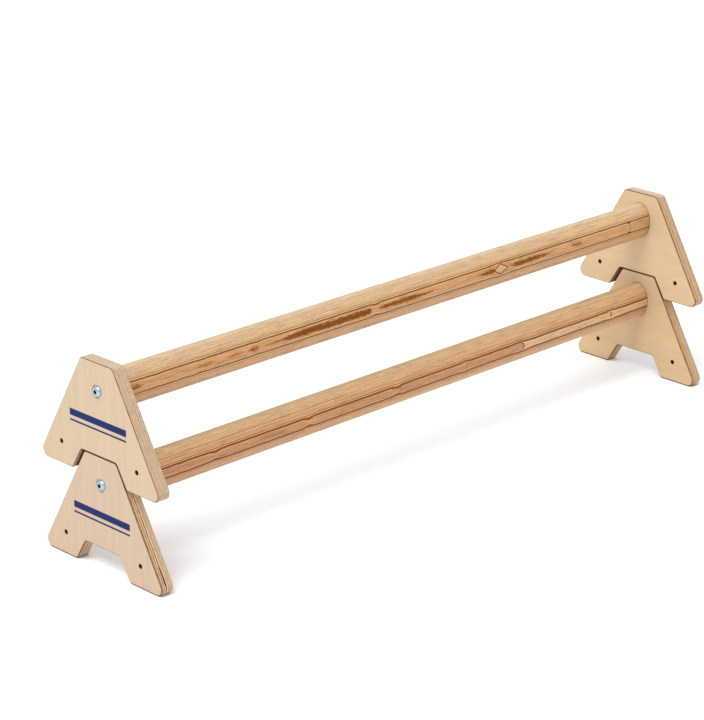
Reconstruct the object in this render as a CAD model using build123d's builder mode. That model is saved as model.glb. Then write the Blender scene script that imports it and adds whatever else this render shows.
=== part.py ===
from build123d import *
import os

# Two identical low balance beams, one stacked on the other.
# Each beam is an oval laminated bar, taller than wide, held between two A-shaped plywood end plates.
# Every plate is fastened by one button-head screw that runs through it, along the bar,
# into a threaded sleeve let into the bar's end.
# X runs along the bars, Z is up, and the origin is on the floor below the stack's centre.

# Driving dimensions, in millimetres

plate_height = 145.4
plate_thickness = 18
foot_half_width = 112.3
top_half_width = 28.8
foot_corner_radius = 9.6
top_corner_radius = 6.7
edge_round = 1.7

notch_depth = 28.8
notch_mouth_half_width = 49
notch_top_half_width = 31.7
notch_mouth_radius = 4.8
notch_top_radius = 4.8

leg_hole_diameter = 6
leg_hole_offset = 68.2
leg_hole_height = 28.8

bar_width = 38
bar_depth = 50
bar_axis_height = 105.8
bar_end_chamfer = 1
clear_span = 964
socket_depth = 6
socket_clearance = 0.1

# M8 screw with a domed head, its plain washer, and its sleeve in the bar
screw_rise = 3.6
screw_diameter = 7.9
screw_length = 35
screw_tip_chamfer = 1
head_diameter = 14
head_height = 4.4
head_rim_height = 0.6
head_flat_diameter = 6.6
hex_across_flats = 5
hex_depth = 2.8

washer_diameter = 16
washer_hole_diameter = 8.4
washer_thickness = 1.6
washer_chamfer = 0.25

counterbore_diameter = 17.3
counterbore_depth = 3.4
screw_hole_diameter = 9

sleeve_diameter = 12
sleeve_bore_diameter = 8
sleeve_length = 25
sleeve_ridge_count = 8
sleeve_ridge_depth = 0.7
pilot_hole_depth = 32

# How the upper beam sits on the lower one
stack_pitch = plate_height - notch_depth
stack_shift = 2.4

# Worked out from the driving dimensions
half_span = clear_span / 2
head_seat = washer_thickness - counterbore_depth
leg_hole_places = [(offset, leg_hole_height) for offset in (-leg_hole_offset, leg_hole_offset)]
beams = {"lower": (-stack_shift / 2, 0), "upper": (stack_shift / 2, stack_pitch)}
ends = {"left": -1, "right": 1}

os.makedirs("parts", exist_ok=True)


def end_plane(beam, end, distance, height=0):
    """A plane across one end of a beam, facing outwards, its local Y pointing up.

    distance is measured outwards from the end plate's inner face."""
    across, base = beams[beam]
    side = ends[end]
    return Plane(
        origin=(side * (half_span + distance), across, base + height),
        x_dir=(0, side, 0),
        z_dir=(side, 0, 0),
    )


def profile_plane(axis_plane):
    """The plane that holds axis_plane's normal, for profiles turned about that normal."""
    return Plane(origin=axis_plane.origin, x_dir=axis_plane.x_dir, z_dir=-axis_plane.y_dir)


def write(builder, name):
    builder.part.label = name
    export_step(builder.part, f"parts/{name}.step")


# Bars: an oval laminated rail, each end drilled for its threaded sleeve

def make_bar(beam):
    bar_end_height = bar_axis_height + screw_rise
    with BuildPart() as bar:
        with BuildSketch(end_plane(beam, "left", socket_depth, bar_axis_height)):
            Ellipse(bar_width / 2, bar_depth / 2)
        extrude(amount=-(clear_span + 2 * socket_depth))
        chamfer(bar.edges().filter_by(GeomType.ELLIPSE), bar_end_chamfer)
        for end in ends:
            with Locations(end_plane(beam, end, socket_depth, bar_end_height)):
                Hole(sleeve_diameter / 2, depth=pilot_hole_depth)
    write(bar, f"{beam}_bar")


# End plates: an A-shaped outline with a notch in its base that fits over another plate's top

def make_end_plate(beam, end):
    with BuildPart() as plate:
        with BuildSketch(end_plane(beam, end, 0)) as outline:
            with BuildLine():
                Polyline(
                    (foot_half_width, 0),
                    (top_half_width, plate_height),
                    (-top_half_width, plate_height),
                    (-foot_half_width, 0),
                    (-notch_mouth_half_width, 0),
                    (-notch_top_half_width, notch_depth),
                    (notch_top_half_width, notch_depth),
                    (notch_mouth_half_width, 0),
                    close=True,
                )
            make_face()
            fillet(outline.vertices().group_by(Axis.Y)[2], top_corner_radius)
            fillet(outline.vertices().group_by(Axis.Y)[1], notch_top_radius)
            fillet(outline.vertices().group_by(Axis.Y)[0].sort_by(lambda v: abs(v.X))[:2], notch_mouth_radius)
            fillet(outline.vertices().group_by(Axis.X)[0], foot_corner_radius)
            fillet(outline.vertices().group_by(Axis.X)[-1], foot_corner_radius)
        extrude(amount=plate_thickness)
        fillet(plate.faces().filter_by(Axis.X).edges(), edge_round)

        # Blind socket that the bar's end sits in
        with BuildSketch(end_plane(beam, end, 0, bar_axis_height)):
            Ellipse(bar_width / 2 + socket_clearance, bar_depth / 2 + socket_clearance)
        extrude(amount=socket_depth, mode=Mode.SUBTRACT)

        # Recess for the washer, with the screw's hole through to the socket
        with Locations(end_plane(beam, end, plate_thickness, bar_axis_height + screw_rise)):
            CounterBoreHole(screw_hole_diameter / 2, counterbore_diameter / 2, counterbore_depth)

        # Plain holes through the legs
        with Locations(end_plane(beam, end, plate_thickness)):
            with Locations(*leg_hole_places):
                Hole(leg_hole_diameter / 2)
    write(plate, f"{beam}_end_plate_{end}")


# Screws: domed head with a hex socket, shank along the bar

def make_screw(beam, end):
    seat = end_plane(beam, end, plate_thickness + head_seat, bar_axis_height + screw_rise)
    with BuildPart() as screw:
        with BuildSketch(profile_plane(seat)):
            with BuildLine():
                rim = Line((head_diameter / 2, 0), (head_diameter / 2, head_rim_height))
                dome = TangentArc(rim @ 1, (head_flat_diameter / 2, head_height), tangent=(-0.25, 1))
                Polyline(
                    dome @ 1,
                    (0, head_height),
                    (0, -screw_length),
                    (screw_diameter / 2 - screw_tip_chamfer, -screw_length),
                    (screw_diameter / 2, screw_tip_chamfer - screw_length),
                    (screw_diameter / 2, 0),
                    rim @ 0,
                )
            make_face()
        revolve(axis=Axis(seat.origin, seat.z_dir))
        with BuildSketch(seat.offset(head_height)):
            RegularPolygon(hex_across_flats / 2, side_count=6, major_radius=False)
        extrude(amount=-hex_depth, mode=Mode.SUBTRACT)
    write(screw, f"{beam}_screw_{end}")


# Washers: flat rings on the recess's floor

def make_washer(beam, end):
    recess_floor = plate_thickness - counterbore_depth
    with BuildPart() as washer:
        with BuildSketch(end_plane(beam, end, recess_floor, bar_axis_height + screw_rise)):
            Circle(washer_diameter / 2)
            Circle(washer_hole_diameter / 2, mode=Mode.SUBTRACT)
        extrude(amount=washer_thickness)
        outer_rims = washer.edges().filter_by(GeomType.CIRCLE).sort_by(SortBy.RADIUS)[-2:]
        chamfer(outer_rims, washer_chamfer)
    write(washer, f"{beam}_washer_{end}")


# Sleeves: ridged outside to bite into the bar's end grain, bored for the screw's thread

def make_sleeve(beam, end):
    mouth = end_plane(beam, end, socket_depth, bar_axis_height + screw_rise)
    ridge_pitch = sleeve_length / sleeve_ridge_count
    crest = sleeve_diameter / 2
    with BuildPart() as sleeve:
        with BuildSketch(profile_plane(mouth)):
            with Locations(((crest + sleeve_bore_diameter / 2) / 2, -sleeve_length / 2)):
                Rectangle(crest - sleeve_bore_diameter / 2, sleeve_length)
            for turn in range(sleeve_ridge_count):
                top = -turn * ridge_pitch
                with BuildLine():
                    Polyline(
                        (crest, top - ridge_pitch / 4),
                        (crest - sleeve_ridge_depth, top - ridge_pitch / 2),
                        (crest, top - ridge_pitch * 3 / 4),
                        close=True,
                    )
                make_face(mode=Mode.SUBTRACT)
        revolve(axis=Axis(mouth.origin, mouth.z_dir))
    write(sleeve, f"{beam}_threaded_sleeve_{end}")


for beam in beams:
    make_bar(beam)
    for end in ends:
        make_end_plate(beam, end)
        make_screw(beam, end)
        make_washer(beam, end)
        make_sleeve(beam, end)
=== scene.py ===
import math

import bpy
from mathutils import Matrix, Vector


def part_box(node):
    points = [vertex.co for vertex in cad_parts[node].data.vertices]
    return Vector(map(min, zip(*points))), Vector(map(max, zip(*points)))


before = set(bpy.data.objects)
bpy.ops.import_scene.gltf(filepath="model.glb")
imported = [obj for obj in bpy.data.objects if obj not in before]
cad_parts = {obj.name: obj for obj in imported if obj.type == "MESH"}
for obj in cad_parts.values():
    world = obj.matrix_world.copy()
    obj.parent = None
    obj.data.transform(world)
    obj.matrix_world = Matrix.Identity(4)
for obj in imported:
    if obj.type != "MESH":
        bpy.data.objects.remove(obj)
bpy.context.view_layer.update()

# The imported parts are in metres. All detail on their surfaces is written in units of 0.96 mm.
UNIT_MM = 0.96
DETAIL = 1000.0 / UNIT_MM
BEAMS = ("lower", "upper")
ENDS = {"left": -1, "right": 1}


def centre(node):
    low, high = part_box(node)
    return (low + high) / 2


# ---------------------------------------------------------------- shader arithmetic

class Value:
    """A number that varies over a surface, made of shader nodes and written as arithmetic."""

    def __init__(self, graph, socket):
        self.graph = graph
        self.socket = socket

    def __add__(self, other):
        return self.graph.math("ADD", self, other)

    def __radd__(self, other):
        return self.graph.math("ADD", other, self)

    def __sub__(self, other):
        return self.graph.math("SUBTRACT", self, other)

    def __rsub__(self, other):
        return self.graph.math("SUBTRACT", other, self)

    def __mul__(self, other):
        return self.graph.math("MULTIPLY", self, other)

    def __rmul__(self, other):
        return self.graph.math("MULTIPLY", other, self)

    def __truediv__(self, other):
        return self.graph.math("DIVIDE", self, other)

    def __abs__(self):
        return self.graph.math("ABSOLUTE", self)

    def floor(self):
        return self.graph.math("FLOOR", self)


class Graph:
    """A material, its shader and the values that drive it."""

    def __init__(self, name):
        self.material = bpy.data.materials.new(name)
        self.material.use_nodes = True
        self.tree = self.material.node_tree
        self.shader = self.tree.nodes["Principled BSDF"]
        place = self.tree.nodes.new("ShaderNodeTexCoord").outputs["Object"]
        split = self.tree.nodes.new("ShaderNodeSeparateXYZ")
        self.tree.links.new(place, split.inputs[0])
        self.x, self.y, self.z = (Value(self, out) * DETAIL for out in split.outputs)

    def plug(self, thing, socket):
        if isinstance(thing, Value):
            self.tree.links.new(thing.socket, socket)
        elif isinstance(thing, bpy.types.NodeSocket):
            self.tree.links.new(thing, socket)
        else:
            socket.default_value = thing

    def math(self, operation, *operands, clamp=False):
        node = self.tree.nodes.new("ShaderNodeMath")
        node.operation = operation
        node.use_clamp = clamp
        for operand, socket in zip(operands, node.inputs):
            self.plug(operand, socket)
        return Value(self, node.outputs[0])

    def ramp(self, value, start, end):
        """0 before start and 1 after end, with a smooth rise between. start may be above end."""
        node = self.tree.nodes.new("ShaderNodeMapRange")
        node.interpolation_type = "SMOOTHSTEP"
        self.plug(value, node.inputs["Value"])
        rising = start < end
        self.plug(min(start, end), node.inputs["From Min"])
        self.plug(max(start, end), node.inputs["From Max"])
        self.plug(0.0 if rising else 1.0, node.inputs["To Min"])
        self.plug(1.0 if rising else 0.0, node.inputs["To Max"])
        return Value(self, node.outputs["Result"])

    def bump_at(self, value, middle, half_width):
        """1 at middle, falling smoothly to 0 at half_width away."""
        return self.ramp(abs(value - middle), half_width, 0.0)

    def span(self, value, start, end, soft):
        """1 between start and end, with soft ends."""
        return self.ramp(value, start - soft, start + soft) * self.ramp(value, end + soft, end - soft)

    def noise(self, x, y, z, detail=2.0, roughness=0.5):
        """Smooth noise, mostly from -1 to 1, over the three coordinates with one cell to a unit."""
        join = self.tree.nodes.new("ShaderNodeCombineXYZ")
        for value, socket in zip((x, y, z), join.inputs):
            self.plug(value, socket)
        node = self.tree.nodes.new("ShaderNodeTexNoise")
        node.inputs["Scale"].default_value = 1.0
        node.inputs["Detail"].default_value = detail
        node.inputs["Roughness"].default_value = roughness
        self.tree.links.new(join.outputs[0], node.inputs["Vector"])
        return (Value(self, node.outputs["Fac"]) - 0.5) * 4.0

    def pick(self, index, seed):
        """A number from 0 to 1 that is the same all over one layer."""
        node = self.tree.nodes.new("ShaderNodeTexWhiteNoise")
        node.noise_dimensions = "1D"
        self.plug(index + seed, node.inputs["W"])
        return Value(self, node.outputs["Value"])

    def blend(self, factor, first, second):
        """The colour first, turning to second where factor is 1."""
        node = self.tree.nodes.new("ShaderNodeMix")
        node.data_type = "RGBA"
        self.plug(factor, node.inputs[0])
        for colour, socket in ((first, node.inputs[6]), (second, node.inputs[7])):
            self.plug((*colour, 1.0) if isinstance(colour, tuple) else colour, socket)
        return node.outputs[2]

    def brighten(self, colour, factor):
        """The colour scaled by a varying factor."""
        node = self.tree.nodes.new("ShaderNodeVectorMath")
        node.operation = "SCALE"
        self.plug(colour, node.inputs[0])
        self.plug(factor, node.inputs["Scale"])
        return node.outputs[0]

    def relief(self, height, distance):
        """Raises and lowers the surface's shading by height times distance, in metres."""
        node = self.tree.nodes.new("ShaderNodeBump")
        node.inputs["Distance"].default_value = distance
        self.plug(height, node.inputs["Height"])
        self.tree.links.new(node.outputs[0], self.shader.inputs["Normal"])

    def finish(self, roughness, **constants):
        """Sets the roughness and any other sockets of the shader that are the same all over."""
        self.plug(roughness, self.shader.inputs["Roughness"])
        for name, value in constants.items():
            self.shader.inputs[name.replace("_", " ")].default_value = value
        return self.material


# ---------------------------------------------------------------- plywood end plates

PLATE_THICKNESS = 18.75
PLATE_HEIGHT = 151.5
PLY = PLATE_THICKNESS / 13
GLUE = (0.115, 0.046, 0.014)
RIM = (0.15, 0.066, 0.022)
# Cut wood in the screw recesses, painted pale as painted light against the shade there
BARE_WOOD_PAINTED_LIGHT = (0.82, 0.70, 0.55)
# Painted contact shade for the grooves between the plates and the bottom of the feet
CONTACT_SHADE = (0.08, 0.034, 0.006)
# Painted shade for the leg holes
HOLE_SHADE = (0.07, 0.034, 0.015)
SPLIT = (0.004, 0.002, 0.001)
LEFT_TOP, RIGHT_TOP = (0.52, 0.40, 0.275), (0.60, 0.46, 0.33)
PRINT_BLUE = (0.0, 0.013, 0.10)
LEG_HOLE_ACROSS, LEG_HOLE_UP = 71.0, 30.0
SCREW_UP = 114.0
THICK_RULE, THIN_RULE, RULE_REACH = (70.0, 79.0), (63.0, 65.5), 53.0

# Face veneer, the cut edge towards the inner and outer face, how strongly the plies differ,
# any glue lines that stand out, as depth below the outer face and strength, and a seed
PLATES = {
    "upper_end_plate_left": {
        "veneer": (0.553, 0.416, 0.281), "inner_edge": (0.49, 0.345, 0.225),
        "outer_edge": (0.485, 0.335, 0.215), "contrast": 0.16,
        "seams": [(2.6, 0.2), (6.4, 0.22), (11.0, 0.2), (14.6, 0.25)], "seed": 3.0},
    "lower_end_plate_left": {
        "veneer": (0.535, 0.397, 0.277), "inner_edge": (0.54, 0.375, 0.225),
        "outer_edge": (0.60, 0.385, 0.228), "contrast": 0.22,
        "seams": [(1.3, 1.0), (4.2, 0.8), (7.5, 0.95), (11.9, 0.35), (15.4, 0.3)], "seed": 11.0},
    "upper_end_plate_right": {
        "veneer": (0.612, 0.445, 0.264), "inner_edge": (0.52, 0.325, 0.18),
        "outer_edge": (0.43, 0.285, 0.172), "contrast": 0.2,
        "seams": [(8.6, 0.25), (12.9, 0.7), (17.6, 0.9)], "seed": 23.0},
    "lower_end_plate_right": {
        "veneer": (0.580, 0.402, 0.228), "inner_edge": (0.495, 0.303, 0.158),
        "outer_edge": (0.44, 0.30, 0.185), "contrast": 0.2,
        "seams": [(11.6, 0.3), (14.4, 0.5), (17.3, 0.85)], "seed": 37.0},
}


def plywood(node, veneer, inner_edge, outer_edge, contrast, seams, seed):
    """Birch plywood: smooth veneer on both faces, plies and glue lines where the edge cuts them."""
    g = Graph(node + "_plywood")
    middle = centre(node) * DETAIL
    side = 1 if middle.x > 0 else -1
    # depth runs in from the outer face, and face_depth from whichever face is nearer
    depth = PLATE_THICKNESS / 2 - side * (g.x - middle.x)
    across = g.y - middle.y
    up = g.z - (middle.z - PLATE_HEIGHT / 2)
    face_depth = g.math("MINIMUM", depth, PLATE_THICKNESS - depth)

    # Face veneer: long soft streaks and fine fibres, upright on the left plates, level on the right
    along, over = (up, across) if side < 0 else (across, up)
    waves = g.noise(along / 70.0, over / 30.0, seed) * (0.2 if side < 0 else 0.8)
    streaks = g.noise(along / 170.0, over / 6.0 + waves, seed, detail=4.0)
    fibres = g.noise(along / 30.0, over / 1.6, seed + 5.0, detail=3.0)
    bands = g.noise(along / 260.0, over / 24.0, seed + 9.0)
    face = g.brighten(veneer, 1.0 + streaks * 0.05 + fibres * 0.04 + bands * 0.03)

    # Cut edge: plies crossing at right angles, glue between them
    wander = g.noise(across / 40.0, up / 40.0, seed + 1.0) * 0.12
    layer = (depth + wander) / PLY
    index = layer.floor()
    within = layer - index
    odd = g.math("MODULO", index, 2.0)
    near_glue = g.math("MINIMUM", within, 1.0 - within)
    glue = g.ramp(near_glue, 0.2, 0.04) * g.ramp(g.pick(index, seed + 0.5), 0.1, 0.9)
    broken = g.ramp(g.noise(across / 10.0, up / 10.0, index + seed, detail=4.0), -0.5, 0.4)
    pores = g.noise(across / 4.0, up / 5.0, depth / 1.2 + seed, detail=4.0, roughness=0.75)
    edge = g.blend(g.ramp(depth, 4.0, 9.0), outer_edge, inner_edge)
    shade = 1.0 + (0.5 - odd) * contrast + pores * 0.34 + (g.pick(index, seed + 2.0) - 0.5) * 0.18
    edge = g.brighten(edge, shade)
    top = LEFT_TOP if side < 0 else RIGHT_TOP
    edge = g.blend(g.ramp(up, 148.5, 151.1) * 0.7, edge, g.brighten(top, shade))
    lines = glue * (0.3 + broken * 0.7) * contrast * 1.6
    for at, strength in seams:
        seam = g.ramp(abs(depth + wander * 2.0 - at), 1.15, 0.4) * strength * (0.65 + broken * 0.35)
        lines = g.math("MAXIMUM", lines, seam)
    edge = g.blend(lines * 0.9, edge, GLUE)
    if node == "lower_end_plate_left":
        # The plies have split open in the front foot
        split = g.ramp(abs(depth - 7.4), 1.25, 0.65) * g.span(up, 13.0, 35.0, 2.0)
        edge = g.blend(split * g.ramp(across, 0.0, -20.0), edge, SPLIT)

    colour = g.blend(g.ramp(face_depth, 0.5, 0.9), face, edge)

    # The rounded rim shows a fine dark line right round each face
    rim = g.span(face_depth, 0.06, 0.9, 0.06) * (0.85 + streaks * 0.25)
    colour = g.blend(rim, colour, RIM)

    # Painted shade where contact shadow falls: in the grooves where one plate sits on the other, deep in the
    # upper plates' notch flanks, and along the bottom of the lower feet. The shine is dulled there too.
    if node.startswith("lower"):
        contact_zone = g.ramp(up, 118.5, 123.5)
    else:
        contact_zone = g.ramp(up, 33.5, 31.0) * g.ramp(abs(across), 54.5, 52.0)
        flank = contact_zone * g.ramp(face_depth, 2.6, 4.6)
        contact_zone = contact_zone * g.ramp(up, 27.0, 29.0)
    corner = g.ramp(face_depth, 0.05, 0.4) * g.ramp(face_depth, 2.6, 1.7)
    painted_shade = contact_zone * corner * 0.9
    if node.startswith("lower"):
        painted_shade = g.math("MAXIMUM", painted_shade, g.ramp(up, 2.3, 1.3) * 0.95)
    else:
        painted_shade = g.math("MAXIMUM", painted_shade, flank * 0.85)
    colour = g.blend(painted_shade, colour, CONTACT_SHADE)
    g.plug(0.15 - painted_shade * 0.15, g.shader.inputs["Specular IOR Level"])

    # Painted shade inside the leg holes, and the cut wood of the recess round the screw painted pale as
    # painted light that lifts the shade in it
    reach_y = abs(abs(across) - LEG_HOLE_ACROSS)
    reach_z = up - LEG_HOLE_UP
    hole = g.math("SQRT", reach_y * reach_y + reach_z * reach_z)
    hole_shade = g.ramp(hole, 3.45, 3.1)
    colour = g.blend(hole_shade, colour, HOLE_SHADE)
    screw_z = up - SCREW_UP
    recess = g.math("SQRT", across * across + screw_z * screw_z)
    # The recess wall is cut wood, painted paler than it is as painted light that lifts its shade
    colour = g.blend(g.ramp(recess, 9.3, 9.1) * g.ramp(depth, 0.1, 0.4), colour, BARE_WOOD_PAINTED_LIGHT)

    # Two plain printed rules across the outer face
    printed = g.ramp(depth, 0.3, 0.2) * g.span(across, -RULE_REACH, RULE_REACH, 0.3)
    rules = g.span(up, *THICK_RULE, 0.3) + g.span(up, *THIN_RULE, 0.3)
    colour = g.blend(printed * rules, colour, PRINT_BLUE)

    g.plug(colour, g.shader.inputs["Base Color"])
    g.relief(fibres * 0.3 + pores * 0.5, 0.00005)
    return g.finish(roughness=0.5)


# ---------------------------------------------------------------- laminated bars

# The bar's section is an oval 50 mm high and 38 mm wide. Its coordinates are in millimetres,
# stretched crosswise so that the oval becomes a circle of radius 25, and the ply pattern is
# laid out on that circle. The pattern starts a little to the right of the bar's middle.
STRETCH_ACROSS = 1.263
PATTERN_START = 5.2
SOCKET_MOUTH = 501.0


class Bar:
    """The laminated wood of one bar, seen across its plies.

    height runs up in the plane of the plies, depth runs through them towards the front, and x
    runs along the bar. outer_ply is the depth at which the outer ply starts, and ply is the
    thickness of the plies beneath it."""

    def __init__(self, node, tilt, outer_ply, ply, seed):
        self.g = g = Graph(node + "_laminate")
        middle = centre(node) * DETAIL
        turn = math.radians(tilt)
        forward, up = (middle.y - g.y) * STRETCH_ACROSS, (g.z - middle.z) * UNIT_MM
        self.x = g.x - PATTERN_START
        self.depth = forward * math.cos(turn) + up * math.sin(turn)
        self.height = up * math.cos(turn) - forward * math.sin(turn)
        self.outer_ply, self.ply, self.seed = outer_ply, ply, seed
        self.shift = g.noise(g.x / 30.0, seed, 0.0, detail=5.0, roughness=0.6) * 0.13
        self.dark = 0.0
        self.bold_lines = []

    def bold_line(self, boundary, weight, end=600.0):
        """One glue line, counted inwards from the outer ply, stands out from the left end to end."""
        self.bold_lines.append((boundary, end, weight))

    def kink(self, at, half_width, amount):
        """The glue lines bend apart over a short length, or together if amount is negative."""
        self.shift = self.shift + self.g.bump_at(self.x, at, half_width) * amount

    def add_dark(self, mask):
        self.dark = self.g.math("MAXIMUM", self.dark, mask)

    def streak(self, start, end, middle, half_height, strength, rise=20.0, fall=20.0):
        """A ragged resin streak along the grain, pointed over its rise and its fall."""
        g = self.g
        reach = g.ramp(self.x, start, start + rise) * g.ramp(self.x, end, end - fall)
        rag = g.noise(self.x / 10.0, self.height / 1.6, self.seed + 4.0, detail=5.0, roughness=0.8)
        thin = g.noise(self.x / 34.0, self.height / 1.1, self.seed + 8.0, detail=3.0)
        off = abs(self.height - middle) + rag * 3.0 + thin * 1.6
        body = g.ramp(off - reach * half_height, 0.5, -1.6) * g.ramp(reach, 0.0, 0.12)
        speckle = g.noise(self.x / 7.0, self.height / 1.5, self.seed, detail=4.0, roughness=0.8)
        flecks = 0.95 + speckle * (1.5 - reach * 0.9)
        self.add_dark(g.math("MULTIPLY", body * strength, flecks, clamp=True))


def bar_material(bar, colours, details):
    """Plies, glue lines, grain and resin in the bar's colours. details paints its own features."""
    g = bar.g
    plies = (bar.depth - bar.outer_ply + bar.shift) / bar.ply
    boundary = (plies + 0.5).floor()
    off = abs(plies - boundary) * bar.ply
    outer = g.ramp(plies, -0.03, 0.03)
    first = g.ramp(abs(plies) * bar.ply, 0.52, 0.18)
    inner = g.ramp(plies, -0.4, -0.6)
    strength = (g.pick(boundary, bar.seed) * 0.4 + 0.08) * g.ramp(plies, -15.0, 0.0)
    for line, end, weight in bar.bold_lines:
        bold = g.ramp(abs(boundary + line), 0.6, 0.4) * g.ramp(bar.x, end, end - 60.0) * weight
        strength = g.math("MAXIMUM", strength, bold)
    glue = g.math("MAXIMUM", first, g.ramp(off, 0.40, 0.10) * inner * strength)
    pale = g.bump_at(off, 0.42, 0.22) * g.ramp(plies, -12.0, -1.0) * g.ramp(plies, 0.9, 0.2)

    # Grain: long lines, finer hairs and short specks
    lines = g.noise(bar.x / 28.0, bar.height / 1.2, bar.depth / 1.2, detail=5.0, roughness=0.75)
    hairs = g.ramp(g.noise(bar.x / 30.0, bar.height / 0.8, bar.depth / 0.8, detail=3.0), 0.1, 0.7)
    specks = g.noise(bar.x / 3.0, bar.height / 1.3, bar.depth / 1.3, detail=3.0, roughness=0.7)
    clouds = g.noise(bar.x / 110.0, bar.height / 6.0, bar.depth / 6.0)

    colour = g.blend(g.ramp(bar.depth, 22.5, 8.0), colours["front"], colours["back"])
    tint = g.pick(plies.floor(), bar.seed + 7.0) - 0.5
    colour = g.brighten(colour, 1.0 + tint * 0.14)
    colour = g.blend(outer, colour, colours["band"])
    colour = details(bar, colour, outer)
    # Painted shade: towards the bottom the bar turns to the colour of its shaded side and grows darker
    painted_underside = g.ramp(bar.height, -7.0, -20.0)
    colour = g.blend(painted_underside * (1.0 - outer) * 0.7, colour, colours["under_shade"])
    texture = 1.07 - painted_underside * 0.06 + lines * 0.38 - hairs * 0.34 + specks * 0.20 + clouds * 0.04
    colour = g.brighten(colour, texture + pale * 0.35)
    colour = g.blend(glue * 0.92, colour, colours["glue"])
    resin = g.blend(g.ramp(bar.dark, 0.45, 0.95), colours["resin"], colours["core"])
    colour = g.blend(g.ramp(bar.dark, 0.0, 0.7) * outer, colour, resin)

    # Painted shade: a fine dark line in the glue colour where each end goes into its socket, for the shadow
    # gap there
    colour = g.blend(g.ramp(abs(g.x), SOCKET_MOUTH - 0.6, SOCKET_MOUTH + 0.6) * 0.7, colour, colours["glue"])
    g.plug(colour, g.shader.inputs["Base Color"])
    g.relief(lines * 0.5 - glue * 0.8, 0.0001)
    return g.finish(roughness=0.45, Specular_IOR_Level=0.12)


def upper_bar():
    """Tan outer veneer with dark resin streaks, a diamond-shaped knot patch and a butt joint."""
    bar = Bar("upper_bar", tilt=6.1, outer_ply=23.58, ply=1.08, seed=2.0)
    g = bar.g
    patch_at, joint_at, joint_notch_at = 174.0, 452.5, 450.0
    bar.bold_line(1, 0.75)
    bar.bold_line(2, 0.45)
    bar.kink(-448.0, 14.0, -0.2)
    bar.kink(-378.0, 16.0, -0.2)
    bar.kink(-280.0, 8.0, -0.12)
    bar.kink(-70.0, 13.0, -0.46)
    bar.kink(patch_at, 24.0, 0.38)
    bar.streak(-540.0, -464.0, 0.2, 3.2, 0.9)
    bar.streak(-394.0, -343.0, 0.0, 2.8, 0.5)
    bar.streak(-340.0, -299.0, 0.3, 2.6, 0.5)
    bar.streak(-302.0, -274.0, 0.0, 3.2, 0.7, rise=14.0, fall=12.0)
    bar.streak(-278.0, -225.0, 0.2, 2.2, 0.55)
    bar.streak(-268.0, -75.0, 0.5, 4.6, 1.0, rise=70.0, fall=8.0)
    bar.streak(-67.0, 55.0, 0.6, 3.4, 0.9, rise=14.0, fall=55.0)
    bar.streak(112.0, 166.0, 1.2, 3.6, 0.9, rise=40.0, fall=6.0)
    bar.streak(184.0, 296.0, 0.6, 3.8, 0.9, rise=30.0, fall=60.0)
    bar.streak(316.0, 350.0, 1.0, 2.8, 0.7, rise=14.0, fall=12.0)

    def patch_and_joint(bar, colour, outer):
        diamond = abs(bar.x - patch_at) / 13.5 + abs(bar.height - 0.5) / 7.0
        bar.dark = bar.dark * g.ramp(diamond, 0.95, 1.02)
        bar.add_dark(g.bump_at(diamond, 1.02, 0.24))
        colour = g.blend(g.ramp(diamond, 0.95, 0.85), colour, (0.54, 0.33, 0.18))
        past = g.ramp(bar.x, joint_at - 0.5, joint_at + 0.5) * outer
        colour = g.blend(past, colour, (0.46, 0.27, 0.115))
        notch = abs(bar.x - joint_notch_at) / 9.0 + (8.6 - abs(bar.height)) / 3.6
        bar.add_dark(g.ramp(notch, 1.05, 0.85))
        bar.add_dark(g.bump_at(bar.x, joint_at, 1.4) * 0.5)
        return colour

    colours = {"front": (0.485, 0.298, 0.160), "under_shade": (0.48, 0.258, 0.130), "back": (0.52, 0.366, 0.222),
               "band": (0.50, 0.262, 0.118), "glue": (0.15, 0.055, 0.006),
               "resin": (0.35, 0.125, 0.018), "core": (0.17, 0.043, 0.0)}
    return bar_material(bar, colours, patch_and_joint)


def lower_bar():
    """Redder outer veneer that ends in a curve, then the paler ply beneath it."""
    bar = Bar("lower_bar", tilt=1.1, outer_ply=24.08, ply=0.95, seed=17.0)
    g = bar.g
    curve_at, short_cut_at, long_cut_at = 224.0, 105.0, 413.5
    bar.bold_line(1, 0.8)
    bar.bold_line(3, 0.55)
    bar.bold_line(6, 0.9, end=-80.0)
    bar.shift = bar.shift + g.ramp(bar.x, 196.0, 220.0) * g.ramp(bar.x, 226.0, 222.0) * 0.25
    bar.shift = bar.shift - g.ramp(bar.x, 222.0, 250.0) * 0.12
    for at, amount in ((-424.0, 0.1), (-402.0, 0.14), (-357.0, -0.3), (-194.0, -0.34),
                       (-30.0, -0.3), (short_cut_at, 0.3), (long_cut_at, 0.24)):
        bar.kink(at, 12.0, amount)
    bar.streak(-290.0, -225.0, 0.5, 2.4, 0.35)
    bar.streak(-44.0, -20.0, 4.8, 2.4, 0.7, rise=8.0, fall=4.0)

    def curve_and_cuts(bar, colour, outer):
        curve = bar.x - curve_at + bar.height * bar.height * 0.14
        colour = g.blend(g.ramp(curve, -0.5, 0.5) * outer, colour, (0.55, 0.335, 0.18))
        bar.add_dark(g.bump_at(curve, 0.0, 1.9))
        bar.add_dark(g.bump_at(bar.x, short_cut_at, 1.2) * 0.4)
        bar.add_dark(g.bump_at(bar.x, long_cut_at, 2.2) * g.span(bar.height, -3.0, 4.6, 0.6) * 0.9)
        return colour

    colours = {"front": (0.535, 0.308, 0.156), "under_shade": (0.56, 0.318, 0.178), "back": (0.575, 0.38, 0.207),
               "band": (0.445, 0.22, 0.102), "glue": (0.15, 0.045, 0.003),
               "resin": (0.27, 0.10, 0.03), "core": (0.13, 0.036, 0.006)}
    return bar_material(bar, colours, curve_and_cuts)


# ---------------------------------------------------------------- metal parts

SCREW_ZINC = (0.40, 0.53, 0.62)
SOCKET_SHADE = (0.05, 0.16, 0.24)


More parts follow.
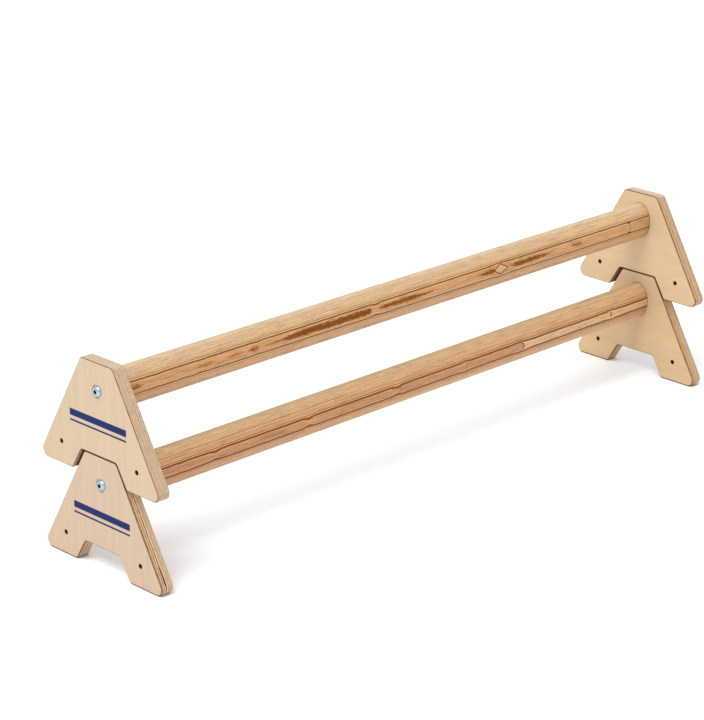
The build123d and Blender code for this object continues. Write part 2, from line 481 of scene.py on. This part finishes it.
def zinc(name, colour, roughness):
    """Plated steel with faint patchiness in its shine."""
    g = Graph(name)
    patches = g.noise(g.x / 1.5, g.y / 1.5, g.z / 1.5, detail=3.0)
    g.plug(g.brighten(colour, 1.0 + patches * 0.04), g.shader.inputs["Base Color"])
    return g.finish(roughness=roughness + patches * 0.03, Metallic=1.0)


def screw_zinc(node, end):
    """Bright zinc, with painted shade in the hex socket."""
    g = Graph(node + "_zinc")
    middle = centre(node) * DETAIL
    low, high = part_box(node)
    crown = (low.x if ENDS[end] < 0 else high.x) * DETAIL
    below = abs(g.x - crown)
    y, z = g.y - middle.y, g.z - middle.z
    radius = g.math("SQRT", y * y + z * z)
    socket = g.ramp(radius, 3.2, 3.0) * g.ramp(below, 0.3, 1.1)
    patches = g.noise(g.x / 1.5, y / 1.5, z / 1.5, detail=3.0)
    colour = g.brighten(SCREW_ZINC, 1.0 + patches * 0.06)
    colour = g.blend(socket, colour, SOCKET_SHADE)
    g.plug(colour, g.shader.inputs["Base Color"])
    return g.finish(roughness=0.3 + patches * 0.04, Metallic=1.0)


def paint(node, material):
    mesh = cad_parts[node].data
    mesh.materials.clear()
    mesh.materials.append(material)


for node, look in PLATES.items():
    paint(node, plywood(node, **look))
paint("upper_bar", upper_bar())
paint("lower_bar", lower_bar())

bright_zinc = zinc("bright_zinc", (0.80, 0.86, 0.90), 0.45)
yellow_zinc = zinc("yellow_zinc", (0.78, 0.62, 0.32), 0.3)
for beam in BEAMS:
    for end in ENDS:
        paint(f"{beam}_screw_{end}", screw_zinc(f"{beam}_screw_{end}", end))
        paint(f"{beam}_washer_{end}", bright_zinc)
        paint(f"{beam}_threaded_sleeve_{end}", yellow_zinc)


# ---------------------------------------------------------------- floor, light and camera

def make_floor():
    half = 12.0
    mesh = bpy.data.meshes.new("floor")
    corners = [(-half, -half, 0), (half, -half, 0), (half, half, 0), (-half, half, 0)]
    mesh.from_pydata(corners, [], [(0, 1, 2, 3)])
    floor = bpy.data.objects.new("floor", mesh)
    bpy.context.scene.collection.objects.link(floor)
    material = bpy.data.materials.new("studio_white")
    material.use_nodes = True
    shader = material.node_tree.nodes["Principled BSDF"]
    shader.inputs["Base Color"].default_value = (0.905, 0.924, 0.943, 1)
    shader.inputs["Roughness"].default_value = 0.9
    mesh.materials.append(material)


def make_light():
    world = bpy.data.worlds.new("studio")
    world.use_nodes = True
    background = world.node_tree.nodes["Background"]
    background.inputs["Color"].default_value = (0.985, 1.0, 1.02, 1)
    background.inputs["Strength"].default_value = 0.955
    bpy.context.scene.world = world
    sun = bpy.data.lights.new("overhead", "SUN")
    sun.energy = 1.85
    sun.angle = math.radians(34)
    lamp = bpy.data.objects.new("overhead", sun)
    lamp.rotation_euler = (math.radians(4), math.radians(-27), 0)
    bpy.context.scene.collection.objects.link(lamp)


def make_camera():
    azimuth, elevation, roll = map(math.radians, (-44.9, 20.28, 0.33))
    distance = 3.36
    aim = Vector((-0.02592, 0.06096, 0.12739))
    back = Vector((
        math.sin(azimuth) * math.cos(elevation),
        -math.cos(azimuth) * math.cos(elevation),
        math.sin(elevation),
    ))
    data = bpy.data.cameras.new("camera")
    data.sensor_width = 36.0
    data.lens = 129.16
    camera = bpy.data.objects.new("camera", data)
    turn = (-back).to_track_quat("-Z", "Y").to_matrix() @ Matrix.Rotation(roll, 3, "Z")
    camera.matrix_world = Matrix.Translation(aim + back * distance) @ turn.to_4x4()
    bpy.context.scene.collection.objects.link(camera)
    bpy.context.scene.camera = camera


make_floor()
make_light()
make_camera()
bpy.context.scene.view_settings.view_transform = "Standard"
